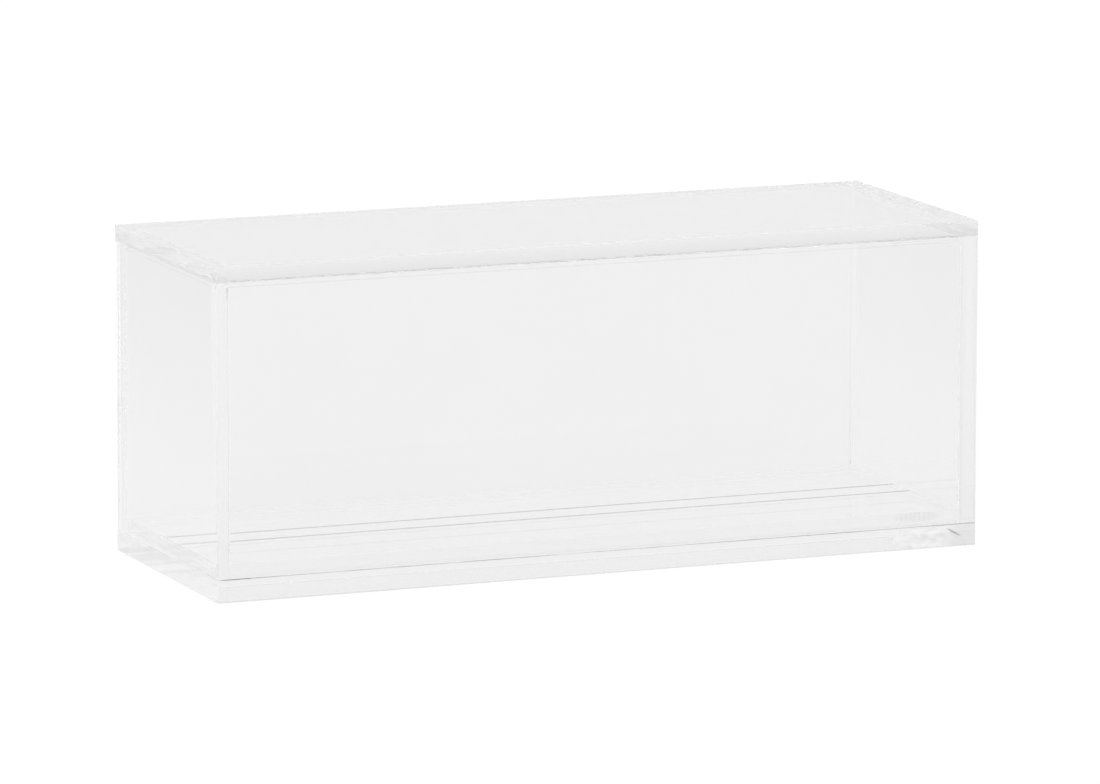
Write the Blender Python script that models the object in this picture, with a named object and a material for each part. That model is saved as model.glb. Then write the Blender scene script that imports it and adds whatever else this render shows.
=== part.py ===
"""A clear acrylic display case for a long scale model, in metres, with +Z up.

The origin is the middle of the base's underside, and +X runs along the case. The base is one thick slab with a
rebate cut all round its top, which leaves a plinth and a shoulder round it, and two long grooves in the plinth's
top guide the model's wheels. Five sheets, cemented together, make the cover. It drops over the plinth and rests on
the shoulder, and nothing fastens it, so it lifts straight off.
"""

import bmesh
import bpy
from mathutils import Matrix, Vector

# The case from outside.
CASE_LENGTH = 0.275
CASE_DEPTH = 0.100
CASE_HEIGHT = 0.112

# The cover's sheets, and the line of cement between two of them.
TOP_THICKNESS = 0.005
WALL_THICKNESS = 0.005
CEMENT_GAP = 0.0003

# The base slab, the rebate round its top, and how loosely the cover sits there.
BASE_THICKNESS = 0.012
REBATE_DEPTH = 0.0045
PLINTH_CLEARANCE = 0.0005
SEAT_GAP = 0.0003

# The two wheel grooves, either side of the case's middle line.
GROOVE_SPACING = 0.0134
GROOVE_WIDTH = 0.0012
GROOVE_DEPTH = 0.001

# How far a cutter runs past the solid that it cuts.
OVERRUN = 0.002

HALF_LENGTH = CASE_LENGTH / 2
HALF_DEPTH = CASE_DEPTH / 2
SHOULDER_HEIGHT = BASE_THICKNESS - REBATE_DEPTH
SHOULDER_WIDTH = WALL_THICKNESS + PLINTH_CLEARANCE
COVER_BOTTOM = SHOULDER_HEIGHT + SEAT_GAP
WALL_TOP = CASE_HEIGHT - TOP_THICKNESS - CEMENT_GAP


def clear_scene():
    for obj in list(bpy.data.objects):
        bpy.data.objects.remove(obj)


def new_collection(name):
    collection = bpy.data.collections.new(name)
    bpy.context.scene.collection.children.link(collection)
    return collection


def block(name, low, high, collection):
    """A box between two corners, with its origin at its middle."""
    low = Vector(low)
    high = Vector(high)
    shape = bmesh.new()
    bmesh.ops.create_cube(shape, size=1, matrix=Matrix.Diagonal((*(high - low), 1)))
    mesh = bpy.data.meshes.new(name)
    shape.to_mesh(mesh)
    shape.free()
    obj = bpy.data.objects.new(name, mesh)
    obj.location = (low + high) / 2
    collection.objects.link(obj)
    return obj


def cutter(name, low, high, collection):
    obj = block(name, low, high, collection)
    obj.hide_render = True
    obj.display_type = "WIRE"
    return obj


def subtract(obj, tool):
    cut = obj.modifiers.new(f"cut_{tool.name}", "BOOLEAN")
    cut.operation = "DIFFERENCE"
    cut.object = tool


def clear_acrylic(name):
    """Colourless, polished acrylic sheet."""
    material = bpy.data.materials.new(name)
    material.use_nodes = True
    surface = material.node_tree.nodes["Principled BSDF"].inputs
    surface["Base Color"].default_value = (0.93, 0.95, 0.95, 1)
    surface["Metallic"].default_value = 0
    surface["Roughness"].default_value = 0.03
    surface["IOR"].default_value = 1.49
    surface["Transmission Weight"].default_value = 1
    return material


def make_base(parts, cutters):
    base = block("base", (-HALF_LENGTH, -HALF_DEPTH, 0), (HALF_LENGTH, HALF_DEPTH, BASE_THICKNESS), parts)
    base.data.materials.append(clear_acrylic("base"))

    # The rebate is a slab over the shoulder, less the plinth that stays.
    plinth_x = HALF_LENGTH - SHOULDER_WIDTH
    plinth_y = HALF_DEPTH - SHOULDER_WIDTH
    rebate = cutter(
        "rebate",
        (-HALF_LENGTH - OVERRUN, -HALF_DEPTH - OVERRUN, SHOULDER_HEIGHT),
        (HALF_LENGTH + OVERRUN, HALF_DEPTH + OVERRUN, BASE_THICKNESS + OVERRUN),
        cutters,
    )
    plinth = cutter(
        "plinth",
        (-plinth_x, -plinth_y, SHOULDER_HEIGHT - OVERRUN),
        (plinth_x, plinth_y, BASE_THICKNESS + 2 * OVERRUN),
        cutters,
    )
    subtract(rebate, plinth)
    subtract(base, rebate)

    for side, name in ((-1, "front_groove"), (1, "back_groove")):
        middle = side * GROOVE_SPACING / 2
        groove = cutter(
            name,
            (-plinth_x - OVERRUN, middle - GROOVE_WIDTH / 2, BASE_THICKNESS - GROOVE_DEPTH),
            (plinth_x + OVERRUN, middle + GROOVE_WIDTH / 2, BASE_THICKNESS + OVERRUN),
            cutters,
        )
        subtract(base, groove)
    return base


def make_cover(parts):
    """Five sheets on one empty: the front and back run the full length, and the ends stand between them."""
    cover = bpy.data.objects.new("cover", None)
    cover.location.z = COVER_BOTTOM
    parts.objects.link(cover)

    inner_x = HALF_LENGTH - WALL_THICKNESS
    inner_y = HALF_DEPTH - WALL_THICKNESS
    end_y = inner_y - CEMENT_GAP
    sheets = {
        "top_panel": (
            (-HALF_LENGTH, -HALF_DEPTH, CASE_HEIGHT - TOP_THICKNESS),
            (HALF_LENGTH, HALF_DEPTH, CASE_HEIGHT),
        ),
        "front_panel": ((-HALF_LENGTH, -HALF_DEPTH, COVER_BOTTOM), (HALF_LENGTH, -inner_y, WALL_TOP)),
        "back_panel": ((-HALF_LENGTH, inner_y, COVER_BOTTOM), (HALF_LENGTH, HALF_DEPTH, WALL_TOP)),
        "left_panel": ((-HALF_LENGTH, -end_y, COVER_BOTTOM), (-inner_x, end_y, WALL_TOP)),
        "right_panel": ((inner_x, -end_y, COVER_BOTTOM), (HALF_LENGTH, end_y, WALL_TOP)),
    }
    for name, (low, high) in sheets.items():
        sheet = block(name, low, high, parts)
        sheet.data.materials.append(clear_acrylic(name))
        sheet.location -= cover.location
        sheet.parent = cover
    return cover


def main():
    clear_scene()
    parts = new_collection("model_display_case")
    cutters = new_collection("cutters")
    make_base(parts, cutters)
    make_cover(parts)


main()
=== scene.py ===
"""The looks of the clear acrylic display case, with the floor, the light and the camera.

Every sheet is a closed solid of its own. Where two sheets are cemented, their faces meet and let light
straight through, so the cover behaves as one clear block, as the real one does. All lengths are in metres.
"""

import math

import bmesh
import bpy
import numpy as np
from mathutils import Matrix, Vector


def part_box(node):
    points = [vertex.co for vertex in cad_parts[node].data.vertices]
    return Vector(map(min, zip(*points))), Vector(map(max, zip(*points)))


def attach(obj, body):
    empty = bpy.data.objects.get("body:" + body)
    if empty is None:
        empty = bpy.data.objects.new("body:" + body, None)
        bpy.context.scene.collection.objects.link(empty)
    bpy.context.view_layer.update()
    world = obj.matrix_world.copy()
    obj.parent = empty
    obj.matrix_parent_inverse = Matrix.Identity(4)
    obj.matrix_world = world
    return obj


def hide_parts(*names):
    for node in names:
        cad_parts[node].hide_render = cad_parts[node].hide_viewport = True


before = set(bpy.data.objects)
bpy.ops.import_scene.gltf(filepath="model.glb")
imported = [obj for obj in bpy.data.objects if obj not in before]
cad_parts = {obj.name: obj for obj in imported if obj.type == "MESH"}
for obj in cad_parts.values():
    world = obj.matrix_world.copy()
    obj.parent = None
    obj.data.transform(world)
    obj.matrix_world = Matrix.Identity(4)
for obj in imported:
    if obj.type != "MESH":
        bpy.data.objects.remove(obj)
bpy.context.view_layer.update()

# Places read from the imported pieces.
TOP_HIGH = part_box("top_panel")[1]
BASE_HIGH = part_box("base")[1]
FRONT_LOW, FRONT_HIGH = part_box("front_panel")
HALF_LENGTH = TOP_HIGH.x
HALF_DEPTH = TOP_HIGH.y
HEIGHT = TOP_HIGH.z
CEILING = FRONT_HIGH.z
COVER_BOTTOM = FRONT_LOW.z
WALL = FRONT_HIGH.y - FRONT_LOW.y
INNER_X = HALF_LENGTH - WALL
INNER_Y = HALF_DEPTH - WALL

# The base's own sizes, as in its solid.
PLINTH_TOP = BASE_HIGH.z
REBATE_DEPTH = 0.0045
PLINTH_CLEARANCE = 0.0005
GROOVE_SPACING = 0.0134
GROOVE_WIDTH = 0.0012
GROOVE_DEPTH = 0.001
SHOULDER = PLINTH_TOP - REBATE_DEPTH
PLINTH_X = INNER_X - PLINTH_CLEARANCE
PLINTH_Y = INNER_Y - PLINTH_CLEARANCE

# How far a cutter runs past what it cuts, and the angle under which two faces become one.
OVERRUN = 0.002
FLAT_ANGLE = 0.01

# Two places nearer than this are the same, and a corner nearer than the second to a plane lies on it.
NEAR = 1e-5
ON_PLANE = NEAR / 100

# A face is square to an axis if its normal has more than this along it.
SQUARE = 0.99

# Along this direction no two corners or faces of a sheet lie equally far.
SORTING = Vector((1, math.sqrt(2), math.sqrt(3)))

# Broken edges of the sheets and of the base.
ARRIS = 0.00006

# The bead of cement along the cover's ceiling: its drop down the wall, its reach along the ceiling, its lip.
BEAD_DROP = 0.0023
BEAD_REACH = 0.0018
BEAD_LIP = 0.0002
BEAD_LIP_RISE = 0.0004
BEAD_LOW = CEILING - BEAD_DROP
BEAD_STEPS = 6

# Places on each side of a ring, how far the bead rises and falls there, and how often in one round.
RING_STATIONS = 60
BEAD_WAVE = 0.00012
BEAD_WAVE_TURNS = (7, 19, 43, 71)

# The thinner beads in the cover's upright corners, which stop above the plinth.
CORNER_BEAD = 0.0005
CORNER_LOW = PLINTH_TOP + CORNER_BEAD
CORNER_STEPS = 3

# The fine line of dust and painted shadow in the gap where the cover sits on the base.
DUST_AND_SHADOW_CLEARANCE = 0.00003
DUST_AND_SHADOW_INSET = 0.0001
DUST_AND_SHADOW_WIDTH = 0.0006

# Refraction of acrylic.
IOR = 1.49

# How much light each kind of face keeps. Going in and out again dims a ray by this much.
# On the outer faces, the sheet ends and the top sheet's far edge these greys are painted shade, set face by
# face.
SHEET_FACE = 0.84
TOP_FACE = 0.67
INNER_FACE = 1.0
TOP_FAR_EDGE = 0.95
WALL_ENDS = {"front_left": 0.81, "front_right": 0.96, "back_left": 0.95, "back_right": 0.90}
SAWN = 0.99
MILLED = 0.99
ARRIS_FACE = 0.86
JOINT_FACE = 0.90
BEAD_FACE = 0.98
LIP_FACE = 0.86
CORNER_FACE = 0.9

# How far a face strays from its level.
FINE_SPREAD = 0.01
EDGE_SPREAD = 0.03
END_MARKS_SPREAD = 0.07
LIP_SPREAD = 0.15

# What an end sheet's outside keeps at the lower and at the upper of two heights: painted shade, darker
# towards the top.
END_FACES = {"left": (0.825, 0.73), "right": (0.855, 0.765)}
END_FADE = (0.035, 0.105)

# What the top sheet's edges keep at the joint and at the top: painted shade, darkest at the joint.
TOP_FRONT_EDGE = (0.59, 0.70)
TOP_LEFT_EDGE = (0.63, 0.74)

# The two greys of the saw lines on the base's sides, and those of the patches on its right end. Their level
# is painted shade.
BASE_TINT = (0.847, 0.853)
BASE_END = (0.84, 0.90)

# Painted shade at the foot of the base's front, where it meets the floor: what is left of the light there,
# and the heights between which that ends.
FOOT_TINT = 0.8
FOOT = (0.0003, 0.0006)

# What a groove keeps deep down and at its rims, and how far down the rims' grey reaches. The grey at the
# rims is painted shade.
GROOVE = (0.97, 0.35)
GROOVE_RIM = 0.0003

# How much light the beads of cement hold back. The soft bead is at the ends and the back.
BEAD_ALPHA = 0.3
LIP_ALPHA = 0.55
SOFT_BEAD_ALPHA = 0.1
CORNER_ALPHAS = {"front_left": 0.1, "front_right": 0.25, "back_left": 0.2, "back_right": 0.6}
CORNER_TOP_ALPHA = 0.9

# How far under its top a corner bead starts to thicken, and has thickened.
CORNER_FADE = (0.005, 0.001)

# How high the lumps in the beads are.
BEAD_LUMPS = 0.00008
SOFT_BEAD_LUMPS = 0.00001

# The cement of a joint: its grey, and how much its streaks hold back. The denser one is at the back's right.
CEMENT_GREY = 0.5
CEMENT_BLOCKS = 0.01
DENSE_CEMENT_BLOCKS = 0.08

# The dust and painted shadow: its grey, and how much light it holds back between its clumps, in them and in
# the heap.
DUST_AND_SHADOW_GREY = 0.25
DUST_AND_SHADOW_ALPHA = (0.2, 0.8)
DUST_AND_SHADOW_HEAP_ALPHA = 0.7

# How much of the dust and painted shadow lies along the case, at its left end and at its back, and how long
# that left end is.
DUST_AND_SHADOW_ALONG = 0.6
DUST_AND_SHADOW_AT_LEFT = 0.2
DUST_AND_SHADOW_AT_BACK = 0.1
DUST_AND_SHADOW_LEFT_END = 0.003

# Spots: a place along the case and a height, a turn in degrees, and half the spot's length and width.
SCUFF = (0.117, 0.0036, 0, 0.015, 0.0042)
SHADE = (0.1345, 0.0030, 0, 0.009, 0.006)
NICK = (0.1294, 0.0049, -30, 0.0036, 0.0004)
CHATTER = (0.117, 0.0105, 0, 0.010, 0.0022)
DUST_AND_SHADOW_HEAP = (-0.1306, 0.0076, 0, 0.0055, 0.002)

# The part of a spot's radius over which it fades out.
SPOT_EDGE = 0.4

# What the marks inside the spots keep: the scuffed patch, the patch of painted shade, the nick and the
# cutter's marks.
SCUFF_TINT = (0.70, 0.95)
SHADE_TINT = 0.82
NICK_TINT = 0.3
CHATTER_TINT = 0.75

# How rough the faces get.
SHEET_ROUGHNESS = 0.03
SAWN_ROUGHNESS = 0.02
LOWER_EDGE_ROUGHNESS = 0.005
BASE_END_ROUGHNESS = 0.03
MILLED_ROUGHNESS = 0.03
GROOVE_ROUGHNESS = (0.05, 0.2)
ARRIS_ROUGHNESS = 0.02
BEAD_ROUGHNESS = 0.02
LIP_ROUGHNESS = 0.1
SOFT_BEAD_ROUGHNESS = 0.01
CORNER_ROUGHNESS = 0.02
CEMENT_ROUGHNESS = 0.6
DUST_ROUGHNESS = 0.9

# Noise in the materials, as its scale and its detail.
SMEARS = (35, 3)
DULL_SMEARS = (90, 4)
SAW_GRAIN = (160, 2)
CUTTER_GRAIN = (900, 2)
END_PATCHES = (70, 3)
BLOTCHES = (260, 2)
EDGE_GRAIN = (300, 2)
BEAD_TINTS = (500, 2)
BEAD_GRAIN = (700, 2)
BEAD_BUMPS = (260, 2)
CORNER_TINTS = (120, 2)
CORNER_GRAIN = (150, 2)
CEMENT_STREAKS = (1100, 2)
DUST_AND_SHADOW_CLUMPS = (30, 3)

# The part of a noise's values over which a mark comes in.
RARE = (0.55, 0.8)
SPARSE = (0.5, 0.8)
STREAKY = (0.5, 0.75)
PATCHY = (0.4, 0.7)
CRISP = (0.35, 0.65)
EVEN = (0.3, 0.7)
WHOLE = (0, 1)

# Tool marks, as the distance between two of them and how much they waver.
WALL_SAW = (0.0004, 1.5)
LOWER_EDGE_SAW = (0.0005, 1.5)
TOP_SAW = (0.0008, 1.5)
BASE_SAW = (0.0011, 1.5)
CUTTER = (0.0017, 3)
END_CUTTER = (0.0065, 3)
GROOVE_CUTTER = (0.0009, 1)
CHATTER_MARKS = (0.0017, 1)

# How many radians a wave texture turns through over one unit.
WAVE_RADIANS = 10

# How many times finer a texture is along each axis. At nothing it is the same all along that axis.
PLAIN = (1, 1, 1)
UPRIGHT = (1, 1, 0)
ACROSS = (1, 0, 0)
LONG_STREAKS = (1, 1, 0.01)
FLAT_BLOTCHES = (1, 1, 1.6)
FLAT_SMEARS = (1, 1, 3)
FLAT_PATCHES = (1, 1, 4)

# The floor, whose top lies just under the case.
FLOOR_GAP = 0.0002
FLOOR_UNDERSIDE = 0.02
FLOOR_REACH = 8
FLOOR_ALBEDO = 0.1
FLOOR_GLOW = 0.94
FLOOR_ROUGHNESS = 0.7

# The tent of light: its greys level and overhead, and how high, from 0 to 1, the second is reached.
HORIZON = 1.0
ZENITH = 1.05
OVERHEAD = 0.6

# The camera, fitted to the case's corners: degrees, case heights, and pixels of a 1100 pixel wide frame.
AZIMUTH = -22.24
ELEVATION = 9.89
ROLL = 0.07
DISTANCE = 24.923
SHIFT_X = -0.0078
SHIFT_Y = -0.0199
FOCAL = 8214.0
FRAME_WIDTH = 1100
SENSOR_MILLIMETRES = 36
CLIP_END = 100

# How many faces a ray may pass, and how many times it may be mirrored, before it is given up.
FACES_PASSED = 128
MIRRORINGS = 64


# Shader nodes

def grey(value):
    return (value, value, value, 1)


def place_on(tree, stretch=PLAIN):
    """Where a point lies on its own piece, stretched."""
    origin = tree.nodes.new("ShaderNodeTexCoord")
    mapping = tree.nodes.new("ShaderNodeMapping")
    mapping.inputs["Scale"].default_value = stretch
    tree.links.new(origin.outputs["Object"], mapping.inputs["Vector"])
    return mapping.outputs["Vector"]


def axis_of(tree, axis):
    """How far a point lies along one axis."""
    split = tree.nodes.new("ShaderNodeSeparateXYZ")
    tree.links.new(place_on(tree), split.inputs[0])
    return split.outputs[axis]


def noise(tree, grain, stretch=PLAIN):
    node = tree.nodes.new("ShaderNodeTexNoise")
    node.inputs["Scale"].default_value, node.inputs["Detail"].default_value = grain
    tree.links.new(place_on(tree, stretch), node.inputs["Vector"])
    return node.outputs["Fac"]


def tool_marks(tree, marks, stretch=UPRIGHT):
    """Lines across the piece's length or depth."""
    spacing, waver = marks
    node = tree.nodes.new("ShaderNodeTexWave")
    node.wave_type = "BANDS"
    node.bands_direction = "DIAGONAL"
    node.inputs["Scale"].default_value = math.tau / (WAVE_RADIANS * spacing)
    node.inputs["Distortion"].default_value = waver
    node.inputs["Detail"].default_value = 1
    tree.links.new(place_on(tree, stretch), node.inputs["Vector"])
    return node.outputs["Fac"]


def ranged(tree, value, source, target):
    """Moves in a straight line through target while the value moves through source, and holds outside it."""
    node = tree.nodes.new("ShaderNodeMapRange")
    node.inputs["From Min"].default_value, node.inputs["From Max"].default_value = source
    node.inputs["To Min"].default_value, node.inputs["To Max"].default_value = target
    tree.links.new(value, node.inputs["Value"])
    return node.outputs["Result"]


def reckoned(tree, operation, first, second):
    node = tree.nodes.new("ShaderNodeMath")
    node.operation = operation
    tree.links.new(first, node.inputs[0])
    tree.links.new(second, node.inputs[1])
    return node.outputs["Value"]


def multiplied(tree, first, second):
    return reckoned(tree, "MULTIPLY", first, second)


def added(tree, first, second):
    return reckoned(tree, "ADD", first, second)


def mixed(tree, factor, first, second):
    """From first to second as factor goes from nothing to one."""
    rest = ranged(tree, factor, WHOLE, (1, 0))
    return added(tree, multiplied(tree, factor, second), multiplied(tree, rest, first))


def spot_mask(tree, spot):
    """One inside a soft-edged ellipse on an upright face along the case, and nothing outside it."""
    along, height, turn, half_length, half_width = spot
    origin = tree.nodes.new("ShaderNodeTexCoord")
    mapping = tree.nodes.new("ShaderNodeMapping")
    mapping.vector_type = "TEXTURE"
    mapping.inputs["Location"].default_value = (along, 0, height)
    mapping.inputs["Rotation"].default_value = (0, -math.radians(turn), 0)
    mapping.inputs["Scale"].default_value = (half_length, 1, half_width)
    tree.links.new(origin.outputs["Object"], mapping.inputs["Vector"])
    ball = tree.nodes.new("ShaderNodeTexGradient")
    ball.gradient_type = "SPHERICAL"
    tree.links.new(mapping.outputs["Vector"], ball.inputs["Vector"])
    return ranged(tree, ball.outputs["Fac"], (0, SPOT_EDGE), WHOLE)


def darkened(tree, value, spot, tint):
    """The value, of which only the tint's share is left inside a spot."""
    return multiplied(tree, value, ranged(tree, spot_mask(tree, spot), WHOLE, (1, tint)))


def tinted(tree, surface, value, tint):
    """Base colour between two greys."""
    low, high = tint
    ramp = tree.nodes.new("ShaderNodeValToRGB")
    ramp.color_ramp.elements[0].color = grey(low)
    ramp.color_ramp.elements[1].color = grey(high)
    tree.links.new(value, ramp.inputs["Fac"])
    tree.links.new(ramp.outputs["Color"], surface["Base Color"])


def roughened(tree, surface, value, source, target):
    tree.links.new(ranged(tree, value, source, target), surface["Roughness"])


def bumped(tree, surface, height, distance):
    bump = tree.nodes.new("ShaderNodeBump")
    bump.inputs["Strength"].default_value = 1
    bump.inputs["Distance"].default_value = distance
    tree.links.new(height, bump.inputs["Height"])
    tree.links.new(bump.outputs["Normal"], surface["Normal"])


# Materials

def new_material(name):
    """A clear Principled acrylic, with its node tree and the sockets of its shader."""
    material = bpy.data.materials.new(name)
    material.use_nodes = True
    tree = material.node_tree
    surface = tree.nodes["Principled BSDF"].inputs
    surface["Transmission Weight"].default_value = 1
    surface["IOR"].default_value = IOR
    return material, tree, surface


def new_film(name, value, roughness):
    """A thin grey film that holds back light by its alpha."""
    material, tree, surface = new_material(name)
    surface["Base Color"].default_value = grey(value)
    surface["Transmission Weight"].default_value = 0
    surface["Roughness"].default_value = roughness
    return material, tree, surface


def around(level, spread=FINE_SPREAD):
    """A pair of greys on both sides of a level."""
    return level - spread, level + spread


def polish(tree, surface):
    """Smooth but for a few dull smears."""
    roughened(tree, surface, noise(tree, DULL_SMEARS, FLAT_SMEARS), RARE, (0, SHEET_ROUGHNESS))


def polished_sheet(name, keeps):
    """Cast sheet, with faint smears of polish."""
    material, tree, surface = new_material(name)
    # On the outer faces and the top face this grey is painted shade, set face by face.
    tinted(tree, surface, noise(tree, SMEARS), (keeps - FINE_SPREAD, keeps))
    polish(tree, surface)
    return material


def end_sheet(name, tint):
    """The outside of an end sheet, with painted shade that darkens it a little towards the top."""
    material, tree, surface = new_material(name)
    smears = ranged(tree, noise(tree, SMEARS), WHOLE, (1 - FINE_SPREAD, 1))
    fade = ranged(tree, axis_of(tree, "Z"), END_FADE, tint)
    tree.links.new(multiplied(tree, smears, fade), surface["Base Color"])
    polish(tree, surface)
    return material


def sawn_edge(name, tint, marks, roughness=SAWN_ROUGHNESS):
    """A cut edge: fine saw lines across it, polished over."""
    material, tree, surface = new_material(name)
    tinted(tree, surface, tool_marks(tree, marks), tint)
    roughened(tree, surface, noise(tree, SAW_GRAIN), SPARSE, (0, roughness))
    return material


def top_edge(name, tint):
    """One edge of the top sheet, with painted shade that darkens it towards its joint."""
    material, tree, surface = new_material(name)
    tinted(tree, surface, ranged(tree, axis_of(tree, "Z"), (CEILING, HEIGHT), WHOLE), tint)
    roughened(tree, surface, tool_marks(tree, TOP_SAW), WHOLE, (0, SAWN_ROUGHNESS))
    return material


def milled(name, tint, marks):
    """A face left by the milling cutter."""
    material, tree, surface = new_material(name)
    tinted(tree, surface, tool_marks(tree, marks), tint)
    roughened(tree, surface, noise(tree, CUTTER_GRAIN), EVEN, (0, MILLED_ROUGHNESS))
    return material


def groove_face():
    """A wheel groove, with painted shade at its rims."""
    material, tree, surface = new_material("groove_face")
    rim = (PLINTH_TOP - GROOVE_RIM, PLINTH_TOP - GROOVE_RIM / 2)
    tree.links.new(ranged(tree, axis_of(tree, "Z"), rim, GROOVE), surface["Base Color"])
    roughened(tree, surface, tool_marks(tree, GROOVE_CUTTER, ACROSS), WHOLE, GROOVE_ROUGHNESS)
    return material


def base_end():
    """The base's right end, where the saw has left faint patches that show through the whole slab."""
    material, tree, surface = new_material("base_end")
    patches = noise(tree, END_PATCHES, FLAT_PATCHES)
    tinted(tree, surface, ranged(tree, patches, CRISP, WHOLE), BASE_END)
    roughened(tree, surface, patches, PATCHY, (BASE_END_ROUGHNESS, 0))
    return material


def front_of_base():
    """The base's front side: saw lines, at its right end a scuffed patch, a patch of painted shade and a
    dark nick, and painted shade along its foot.
    """
    material, tree, surface = new_material("base_front")
    lines = ranged(tree, tool_marks(tree, BASE_SAW), WHOLE, BASE_TINT)
    blotches = noise(tree, BLOTCHES, FLAT_BLOTCHES)
    scuffed = mixed(tree, spot_mask(tree, SCUFF), lines, ranged(tree, blotches, CRISP, SCUFF_TINT))
    marked = darkened(tree, darkened(tree, scuffed, SHADE, SHADE_TINT), NICK, NICK_TINT)
    # Painted shade along the foot, where the base meets the floor.
    foot = ranged(tree, axis_of(tree, "Z"), FOOT, (FOOT_TINT, 1))
    tree.links.new(multiplied(tree, marked, foot), surface["Base Color"])
    roughened(tree, surface, blotches, SPARSE, (0, SAWN_ROUGHNESS))
    return material


def front_of_plinth():
    """The plinth's front side, with a patch of marks where the cutter chattered."""
    material, tree, surface = new_material("plinth_front")
    chatter = multiplied(tree, spot_mask(tree, CHATTER), tool_marks(tree, CHATTER_MARKS, ACROSS))
    tree.links.new(ranged(tree, chatter, WHOLE, (MILLED, CHATTER_TINT)), surface["Base Color"])
    roughened(tree, surface, noise(tree, CUTTER_GRAIN), EVEN, (0, MILLED_ROUGHNESS))
    return material


def broken_edge(name, keeps):
    """Edges scraped to a narrow flat."""
    material, tree, surface = new_material(name)
    grain = noise(tree, EDGE_GRAIN)
    tinted(tree, surface, grain, around(keeps, EDGE_SPREAD))
    roughened(tree, surface, grain, EVEN, (0, ARRIS_ROUGHNESS))
    return material


def cement_bead(name, tint, roughness, alpha, lumps):
    """Set cement: glossy and lumpy, and partly one with the sheets."""
    material, tree, surface = new_material(name)
    surface["Alpha"].default_value = alpha
    tinted(tree, surface, noise(tree, BEAD_TINTS), tint)
    roughened(tree, surface, noise(tree, BEAD_GRAIN), EVEN, (0, roughness))
    bumped(tree, surface, noise(tree, BEAD_BUMPS), lumps)
    return material


def corner_bead(name, alpha):
    """The bead up a corner, which thickens just under the ceiling."""
    material, tree, surface = new_material(name)
    tinted(tree, surface, noise(tree, CORNER_TINTS), around(CORNER_FACE, EDGE_SPREAD))
    roughened(tree, surface, noise(tree, CORNER_GRAIN), EVEN, (0, CORNER_ROUGHNESS))
    heights = [BEAD_LOW - drop for drop in CORNER_FADE]
    tree.links.new(ranged(tree, axis_of(tree, "Z"), heights, (alpha, CORNER_TOP_ALPHA)), surface["Alpha"])
    return material


def cement_joint(name, blocks):
    """Where two sheets are cemented, light goes straight through but for a few faint streaks."""
    material, tree, surface = new_film(name, CEMENT_GREY, CEMENT_ROUGHNESS)
    streaks = noise(tree, CEMENT_STREAKS, LONG_STREAKS)
    tree.links.new(ranged(tree, streaks, STREAKY, (0, blocks)), surface["Alpha"])
    return material


def dust_and_shadow():
    """Clumps of dust and painted shadow, with a small heap near the front's left corner and least of it at
    the back.
    """
    material, tree, surface = new_film("dust_and_shadow", DUST_AND_SHADOW_GREY, DUST_ROUGHNESS)
    clumps = ranged(tree, noise(tree, DUST_AND_SHADOW_CLUMPS, UPRIGHT), CRISP, DUST_AND_SHADOW_ALPHA)
    left_end = (-HALF_LENGTH, DUST_AND_SHADOW_LEFT_END - HALF_LENGTH)
    from_left = ranged(tree, axis_of(tree, "X"), left_end, (DUST_AND_SHADOW_AT_LEFT, DUST_AND_SHADOW_ALONG))
    from_front = ranged(tree, axis_of(tree, "Y"), (-HALF_DEPTH, 0), (1, DUST_AND_SHADOW_AT_BACK))
    heap = ranged(tree, spot_mask(tree, DUST_AND_SHADOW_HEAP), WHOLE, (0, DUST_AND_SHADOW_HEAP_ALPHA))
    layer = added(tree, multiplied(tree, clumps, from_left), heap)
    tree.links.new(multiplied(tree, layer, from_front), surface["Alpha"])
    return material


def sheet_finishes():
    wall_ends = {
        f"end_{corner}": sawn_edge(f"wall_end_{corner}", around(keeps), WALL_SAW)
        for corner, keeps in WALL_ENDS.items()
    }
    return wall_ends | {
        "outer": polished_sheet("outer_face", SHEET_FACE),
        "left_outer": end_sheet("left_outer_face", END_FACES["left"]),
        "right_outer": end_sheet("right_outer_face", END_FACES["right"]),
        "roof": polished_sheet("top_face", TOP_FACE),
        "inner": polished_sheet("inner_face", INNER_FACE),
        "top_front_edge": top_edge("top_front_edge", TOP_FRONT_EDGE),
        "top_left_edge": top_edge("top_left_edge", TOP_LEFT_EDGE),
        "top_far_edge": sawn_edge("top_far_edge", around(TOP_FAR_EDGE), TOP_SAW),
        "sawn": sawn_edge("sawn_edge", around(SAWN), LOWER_EDGE_SAW, LOWER_EDGE_ROUGHNESS),
        "arris": broken_edge("broken_edge", ARRIS_FACE),
        "joint": broken_edge("joint_edge", JOINT_FACE),
    }


def base_finishes():
    return {
        "side": sawn_edge("base_side", BASE_TINT, BASE_SAW),
        "base_end": base_end(),
        "base_front": front_of_base(),
        "milled": milled("milled_face", around(MILLED), CUTTER),
        "milled_end": milled("milled_end", (MILLED - END_MARKS_SPREAD, MILLED + FINE_SPREAD), END_CUTTER),
        "plinth_front": front_of_plinth(),
        "groove": groove_face(),
        "dust_and_shadow": dust_and_shadow(),
    }


def cement_finishes():
    corner_beads = {
        f"bead_{corner}": corner_bead(f"corner_bead_{corner}", alpha)
        for corner, alpha in CORNER_ALPHAS.items()
    }
    soft = (SOFT_BEAD_ROUGHNESS, SOFT_BEAD_ALPHA, SOFT_BEAD_LUMPS)
    return corner_beads | {
        "bead": cement_bead("cement_bead", around(BEAD_FACE), BEAD_ROUGHNESS, BEAD_ALPHA, BEAD_LUMPS),
        "lip": cement_bead("cement_lip", around(LIP_FACE, LIP_SPREAD), LIP_ROUGHNESS, LIP_ALPHA, BEAD_LUMPS),
        "soft_bead": cement_bead("soft_cement_bead", around(BEAD_FACE), *soft),
        "cement": cement_joint("cement_joint", CEMENT_BLOCKS),
        "dense_cement": cement_joint("dense_cement_joint", DENSE_CEMENT_BLOCKS),
    }


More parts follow.
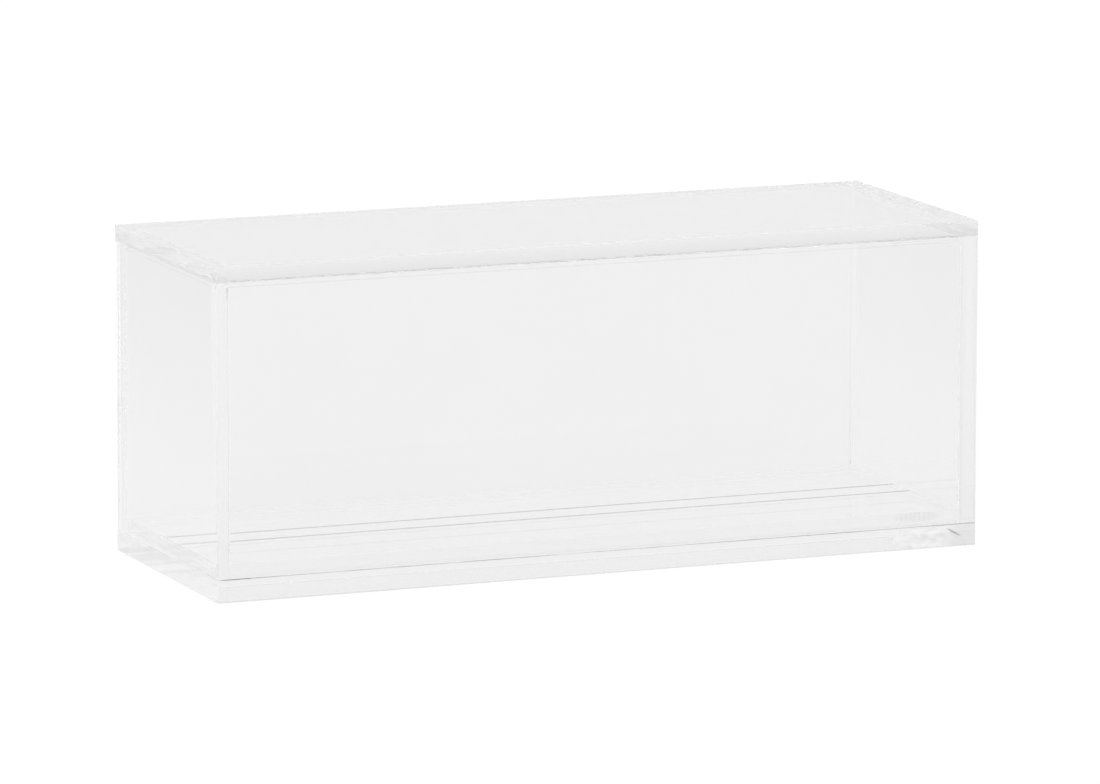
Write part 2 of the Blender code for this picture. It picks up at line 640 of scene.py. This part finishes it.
FINISHES = sheet_finishes() | base_finishes() | cement_finishes()
ORDER = list(FINISHES)


# Meshes

def box_mesh(low, high):
    """A box between two corners."""
    shape = bmesh.new()
    bmesh.ops.create_cube(shape, size=1)
    for vert in shape.verts:
        vert.co = Vector([(a + b) / 2 + c * (b - a) for a, b, c in zip(low, high, vert.co)])
    shape.normal_update()
    return shape


def new_object(name, shape):
    mesh = bpy.data.meshes.new(name)
    shape.to_mesh(mesh)
    shape.free()
    obj = bpy.data.objects.new(name, mesh)
    bpy.context.scene.collection.objects.link(obj)
    return obj


def set_finish(face, finish):
    face.material_index = ORDER.index(finish)


def finish_faces(shape, finish_of):
    shape.normal_update()
    for face in shape.faces:
        set_finish(face, finish_of(face.calc_center_median(), face.normal))


def fit(obj, body):
    """Gives a piece the finishes that its faces use, and its body."""
    faces = obj.data.polygons
    used = sorted({face.material_index for face in faces})
    for face in faces:
        face.material_index = used.index(face.material_index)
    for index in used:
        obj.data.materials.append(FINISHES[ORDER[index]])
    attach(obj, body)


def same(first, second):
    return abs(first - second) < NEAR


def square(normal):
    """Whether a face is square to an axis."""
    return max(abs(value) for value in normal) > SQUARE


def is_exposed(edge):
    """Whether an edge is broken: the outer ones are, but for those at the seat and at the flush joints."""
    ends = [vert.co for vert in edge.verts]
    middle = (ends[0] + ends[1]) / 2
    if same(middle.z, SHOULDER) or same(middle.z, COVER_BOTTOM):
        return False
    along_x = not same(ends[0].x, ends[1].x)
    at_end = same(abs(middle.x), HALF_LENGTH)
    at_side = same(abs(middle.y), HALF_DEPTH)
    at_foot = same(middle.z, 0)
    return same(middle.z, HEIGHT) or at_side and (along_x or at_end) or at_end and at_foot


def break_edges(shape):
    exposed = [edge for edge in shape.edges if is_exposed(edge)]
    bmesh.ops.bevel(shape, geom=exposed, offset=ARRIS, segments=1, affect="EDGES", clamp_overlap=True)


def split_faces(shape, planes):
    for point, normal in planes:
        geometry = shape.verts[:] + shape.edges[:] + shape.faces[:]
        bmesh.ops.bisect_plane(shape, geom=geometry, dist=ON_PLANE, plane_co=point, plane_no=normal)


def put_in_order(shape):
    """Sorts the corners, edges and faces, which a cut leaves in another order in each run."""
    shape.verts.sort(key=lambda vert: vert.co.dot(SORTING))
    shape.edges.sort(key=lambda edge: (edge.verts[0].co + edge.verts[1].co).dot(SORTING))
    shape.faces.sort(key=lambda face: face.calc_center_median().dot(SORTING))


def planes_across(axis, places):
    """Planes that cut at the same places on both sides of the middle."""
    normal = Vector([1 if index == axis else 0 for index in range(3)])
    return [(normal * place * side, normal) for place in places for side in (-1, 1)]


def quarter_turn(steps):
    """The angles of a quarter turn in even steps."""
    return [math.pi / 2 * step / steps for step in range(steps + 1)]


def bead_wave(angle):
    """How unevenly the bead was laid, round the case."""
    waves = [math.sin(angle * turns + turns * turns) for turns in BEAD_WAVE_TURNS]
    return sum(waves) / len(waves)


def ring_round(x, y, height, waver=0):
    """Places all round a rectangle, in order, which rise and fall by waver."""
    corners = [Vector((a, b, height)) for a, b in ((-x, -y), (x, -y), (x, y), (-x, y))]
    ring = []
    for side, start in enumerate(corners):
        end = corners[(side + 1) % len(corners)]
        for station in range(RING_STATIONS):
            along = station / RING_STATIONS
            lift = waver * bead_wave(math.tau * (side + along) / len(corners))
            ring.append(start.lerp(end, along) + Vector((0, 0, lift)))
    return ring


def hoop(name, rings, finish_of, body):
    """A closed loop through rings of places, whose finish depends on the ring and on the case's side."""
    shape = bmesh.new()
    verts = [[shape.verts.new(place) for place in ring] for ring in rings]
    count = len(verts[0])
    for index, near in enumerate(verts):
        far = verts[(index + 1) % len(verts)]
        for station in range(count):
            after = (station + 1) % count
            face = shape.faces.new([near[station], near[after], far[after], far[station]])
            set_finish(face, finish_of(index, station // RING_STATIONS))
    bmesh.ops.recalc_face_normals(shape, faces=shape.faces[:])
    fit(new_object(name, shape), body)


# The cover

def corner_of(x, y):
    return f"{'front' if y < 0 else 'back'}_{'left' if x < 0 else 'right'}"


def edge_finish(centre):
    """The finish of a broken edge, which is paler at the joint under the top sheet."""
    return "joint" if abs(centre.z - CEILING) < ARRIS else "arris"


def top_finish(centre, normal):
    if not square(normal):
        return edge_finish(centre)
    if normal.z > SQUARE:
        return "roof"
    if normal.z < -SQUARE:
        joined = abs(centre.x) > INNER_X - BEAD_REACH or abs(centre.y) > INNER_Y - BEAD_REACH
        return "cement" if joined else "inner"
    if normal.y < -SQUARE:
        return "top_front_edge"
    return "top_left_edge" if normal.x < -SQUARE else "top_far_edge"


def wall_finish(centre, normal):
    """The finish of a front or back sheet, whose ends show on the outside."""
    if not square(normal):
        return edge_finish(centre)
    if normal.z > SQUARE:
        return "cement"
    if normal.z < -SQUARE:
        return "sawn"
    if abs(normal.x) > SQUARE:
        return f"end_{corner_of(centre.x, centre.y)}"
    if normal.y * centre.y > 0:
        return "outer"
    if centre.x > INNER_X and centre.y > 0:
        return "dense_cement"
    by_corner = abs(centre.x) > INNER_X - CORNER_BEAD and centre.z > CORNER_LOW
    joined = abs(centre.x) > INNER_X or centre.z > BEAD_LOW
    return "cement" if joined or by_corner else "inner"


def end_finish(centre, normal):
    """The finish of a left or right sheet, which stands between the front and the back."""
    if not square(normal):
        return edge_finish(centre)
    if normal.z > SQUARE or abs(normal.y) > SQUARE:
        return "cement"
    if normal.z < -SQUARE:
        return "sawn"
    if normal.x * centre.x > 0:
        return "left_outer" if centre.x < 0 else "right_outer"
    by_corner = abs(centre.y) > INNER_Y - CORNER_BEAD and centre.z > CORNER_LOW
    return "cement" if centre.z > BEAD_LOW or by_corner else "inner"


def sheet(name, low, high, planes, finish_of, node):
    """One sheet of the cover, with broken outer edges and its faces split at the given planes."""
    shape = box_mesh(low, high)
    break_edges(shape)
    split_faces(shape, planes)
    put_in_order(shape)
    finish_faces(shape, finish_of)
    obj = new_object(name, shape)
    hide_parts(node)
    fit(obj, "cover")


def make_cover():
    bead_lines = [(Vector((0, 0, height)), Vector((0, 0, 1))) for height in (BEAD_LOW, CORNER_LOW)]
    ceiling_lines = planes_across(0, [INNER_X - BEAD_REACH]) + planes_across(1, [INNER_Y - BEAD_REACH])
    wall_lines = planes_across(0, [INNER_X, INNER_X - CORNER_BEAD]) + bead_lines
    end_lines = planes_across(1, [INNER_Y - CORNER_BEAD]) + bead_lines
    sheet(
        "cover_top_sheet", (-HALF_LENGTH, -HALF_DEPTH, CEILING), (HALF_LENGTH, HALF_DEPTH, HEIGHT),
        ceiling_lines, top_finish, "top_panel",
    )
    sheet(
        "cover_front_sheet", (-HALF_LENGTH, -HALF_DEPTH, COVER_BOTTOM), (HALF_LENGTH, -INNER_Y, CEILING),
        wall_lines, wall_finish, "front_panel",
    )
    sheet(
        "cover_back_sheet", (-HALF_LENGTH, INNER_Y, COVER_BOTTOM), (HALF_LENGTH, HALF_DEPTH, CEILING),
        wall_lines, wall_finish, "back_panel",
    )
    sheet(
        "cover_left_sheet", (-HALF_LENGTH, -INNER_Y, COVER_BOTTOM), (-INNER_X, INNER_Y, CEILING),
        end_lines, end_finish, "left_panel",
    )
    sheet(
        "cover_right_sheet", (INNER_X, -INNER_Y, COVER_BOTTOM), (HALF_LENGTH, INNER_Y, CEILING),
        end_lines, end_finish, "right_panel",
    )


def bead_section():
    """The bead's free surface from the wall to the ceiling: how far in from the wall, and how high."""
    section = [(0, BEAD_LOW)]
    for angle in quarter_turn(BEAD_STEPS):
        inset = BEAD_REACH - (BEAD_REACH - BEAD_LIP) * math.cos(angle)
        height = CEILING - BEAD_LIP - (BEAD_DROP - BEAD_LIP_RISE - BEAD_LIP) * (1 - math.sin(angle))
        section.append((inset, height))
    section.append((BEAD_REACH, CEILING))
    return section


def make_bead():
    """The bead of cement in the corner between the walls and the ceiling."""
    section = bead_section()
    last = len(section) - 1
    rings = []
    for index, (inset, height) in enumerate(section):
        waver = -BEAD_WAVE if 1 < index < last - 1 else 0
        rings.append(ring_round(INNER_X - inset, INNER_Y - inset, height, waver))
    rings.append(ring_round(INNER_X, INNER_Y, CEILING))

    def finish_of(index, side):
        if index >= last:
            return "cement"
        if side > 0:
            return "soft_bead"
        return "lip" if index in (0, last - 1) else "bead"

    hoop("cement_bead_ring", rings, finish_of, "cover")


def corner_section():
    """A corner bead's section, as distances in from the two walls: the corner, then the hollow face."""
    section = [(0, 0)]
    for angle in quarter_turn(CORNER_STEPS):
        section.append((CORNER_BEAD * (1 - math.sin(angle)), CORNER_BEAD * (1 - math.cos(angle))))
    return section


def make_corner_bead(side_x, side_y):
    """A hollow-faced bead up one inner corner of the cover, as a closed prism."""
    section = corner_section()
    shape = bmesh.new()
    low, high = (
        [shape.verts.new((side_x * (INNER_X - x), side_y * (INNER_Y - y), z)) for x, y in section]
        for z in (CORNER_LOW, BEAD_LOW)
    )
    count = len(section)
    corner = corner_of(side_x, side_y)
    for index in range(count):
        after = (index + 1) % count
        face = shape.faces.new([low[index], low[after], high[after], high[index]])
        set_finish(face, "cement" if index in (0, count - 1) else f"bead_{corner}")
    for ring in (low, high):
        set_finish(shape.faces.new(ring), f"bead_{corner}")
    bmesh.ops.recalc_face_normals(shape, faces=shape.faces[:])
    fit(new_object(f"corner_bead_{corner}", shape), "cover")


# The base

def plinth_finish(centre, normal):
    """The finish of an upright face or a groove's floor between the shoulder and the plinth's top."""
    by_groove = abs(centre.y) < GROOVE_SPACING / 2 + GROOVE_WIDTH
    if by_groove and centre.z > PLINTH_TOP - GROOVE_DEPTH - NEAR:
        return "groove"
    if normal.x > SQUARE:
        return "milled_end"
    if normal.y < -SQUARE and centre.y < -GROOVE_SPACING:
        return "plinth_front"
    return "milled"


def base_finish(centre, normal):
    if not square(normal):
        return edge_finish(centre)
    if same(centre.x, HALF_LENGTH):
        return "base_end"
    if same(centre.y, -HALF_DEPTH):
        return "base_front"
    if same(centre.x, -HALF_LENGTH) or same(centre.y, HALF_DEPTH):
        return "side"
    if same(centre.z, SHOULDER):
        return "milled"
    if SHOULDER < centre.z < PLINTH_TOP - NEAR:
        return plinth_finish(centre, normal)
    return "inner"


def box_object(name, low, high):
    return new_object(name, box_mesh(low, high))


def cut(obj, tool):
    modifier = obj.modifiers.new("cut", "BOOLEAN")
    modifier.operation = "DIFFERENCE"
    modifier.object = tool


def rebate_and_plinth():
    """What the cutter takes from round the plinth, and the box that is left out of it."""
    rebate = box_object(
        "rebate", (-HALF_LENGTH - OVERRUN, -HALF_DEPTH - OVERRUN, SHOULDER),
        (HALF_LENGTH + OVERRUN, HALF_DEPTH + OVERRUN, PLINTH_TOP + OVERRUN),
    )
    plinth = box_object(
        "plinth", (-PLINTH_X, -PLINTH_Y, SHOULDER - OVERRUN), (PLINTH_X, PLINTH_Y, PLINTH_TOP + 2 * OVERRUN),
    )
    cut(rebate, plinth)
    return rebate, plinth


def groove_tool(side):
    """What the cutter takes for the groove on one side of the middle."""
    middle = side * GROOVE_SPACING / 2
    return box_object(
        "groove", (-PLINTH_X - OVERRUN, middle - GROOVE_WIDTH / 2, PLINTH_TOP - GROOVE_DEPTH),
        (PLINTH_X + OVERRUN, middle + GROOVE_WIDTH / 2, PLINTH_TOP + OVERRUN),
    )


def cut_base():
    """The slab less its rebate and its grooves, as one mesh."""
    slab = box_object("base_slab", (-HALF_LENGTH, -HALF_DEPTH, 0), (HALF_LENGTH, HALF_DEPTH, PLINTH_TOP))
    rebate, plinth = rebate_and_plinth()
    tools = [rebate, groove_tool(-1), groove_tool(1)]
    for tool in tools:
        cut(slab, tool)
    bpy.context.view_layer.update()
    shape = bmesh.new()
    shape.from_mesh(slab.evaluated_get(bpy.context.evaluated_depsgraph_get()).to_mesh())
    for obj in (slab, plinth, *tools):
        bpy.data.objects.remove(obj)
    bmesh.ops.dissolve_limit(shape, angle_limit=FLAT_ANGLE, verts=shape.verts[:], edges=shape.edges[:])
    return shape


def make_base():
    shape = cut_base()
    break_edges(shape)
    finish_faces(shape, base_finish)
    obj = new_object("machined_base", shape)
    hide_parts("base")
    fit(obj, "base")


def make_dust_and_shadow_line():
    """Dust and painted shadow in the gap between the cover and the shoulder, just inside its outer edge."""
    low = SHOULDER + DUST_AND_SHADOW_CLEARANCE
    high = COVER_BOTTOM - DUST_AND_SHADOW_CLEARANCE
    outer = (HALF_LENGTH - DUST_AND_SHADOW_INSET, HALF_DEPTH - DUST_AND_SHADOW_INSET)
    inner = (outer[0] - DUST_AND_SHADOW_WIDTH, outer[1] - DUST_AND_SHADOW_WIDTH)
    section = ((outer, low), (outer, high), (inner, high), (inner, low))
    rings = [ring_round(*reach, height) for reach, height in section]
    hoop("seat_dust_and_shadow_line", rings, lambda index, side: "dust_and_shadow", "base")


# The studio

def make_floor():
    low = (-FLOOR_REACH, -FLOOR_REACH, -FLOOR_UNDERSIDE)
    floor = box_object("floor", low, (FLOOR_REACH, FLOOR_REACH, -FLOOR_GAP))
    material = bpy.data.materials.new("white_floor")
    material.use_nodes = True
    surface = material.node_tree.nodes["Principled BSDF"].inputs
    surface["Base Color"].default_value = grey(FLOOR_ALBEDO)
    surface["Emission Color"].default_value = grey(1)
    surface["Emission Strength"].default_value = FLOOR_GLOW
    surface["Roughness"].default_value = FLOOR_ROUGHNESS
    surface["Specular IOR Level"].default_value = 0
    floor.data.materials.append(material)


def make_world():
    """A white tent all round, a little brighter overhead."""
    world = bpy.data.worlds.new("studio")
    bpy.context.scene.world = world
    world.use_nodes = True
    tree = world.node_tree
    direction = tree.nodes.new("ShaderNodeTexCoord").outputs["Generated"]
    split = tree.nodes.new("ShaderNodeSeparateXYZ")
    tree.links.new(direction, split.inputs[0])
    ramp = tree.nodes.new("ShaderNodeValToRGB")
    ramp.color_ramp.elements[0].color = grey(HORIZON)
    ramp.color_ramp.elements[1].color = grey(ZENITH)
    ramp.color_ramp.elements[1].position = OVERHEAD
    tree.links.new(split.outputs["Z"], ramp.inputs["Fac"])
    tree.links.new(ramp.outputs["Color"], tree.nodes["Background"].inputs["Color"])


def camera_axes():
    """Which way the camera's right, its top and its view point."""
    azimuth, elevation, roll = (math.radians(value) for value in (AZIMUTH, ELEVATION, ROLL))
    forward = np.array([
        -math.sin(azimuth) * math.cos(elevation),
        math.cos(azimuth) * math.cos(elevation),
        -math.sin(elevation),
    ])
    level = np.array([math.cos(azimuth), math.sin(azimuth), 0.0])
    upward = np.cross(level, forward)
    right = math.cos(roll) * level + math.sin(roll) * upward
    up = -math.sin(roll) * level + math.cos(roll) * upward
    return right, up, forward


def make_camera():
    right, up, forward = camera_axes()
    view = np.array([right, -up, forward])
    place = -view.T @ np.array([SHIFT_X, SHIFT_Y, DISTANCE]) * HEIGHT + np.array([0, 0, HEIGHT / 2])
    axes = np.array([right, up, -forward]).T
    lens = bpy.data.cameras.new("camera")
    lens.sensor_width = SENSOR_MILLIMETRES
    lens.lens = FOCAL / FRAME_WIDTH * lens.sensor_width
    lens.clip_end = CLIP_END
    camera = bpy.data.objects.new("camera", lens)
    camera.matrix_world = Matrix([[*row, along] for row, along in zip(axes, place)] + [[0, 0, 0, 1]])
    bpy.context.scene.collection.objects.link(camera)
    bpy.context.scene.camera = camera


def set_render_look():
    scene = bpy.context.scene
    scene.view_settings.view_transform = "Standard"
    scene.cycles.max_bounces = FACES_PASSED
    scene.cycles.transmission_bounces = FACES_PASSED
    scene.cycles.transparent_max_bounces = FACES_PASSED
    scene.cycles.glossy_bounces = MIRRORINGS


make_cover()
make_bead()
for side_x in (-1, 1):
    for side_y in (-1, 1):
        make_corner_bead(side_x, side_y)
make_base()
make_dust_and_shadow_line()
make_floor()
make_world()
make_camera()
set_render_look()
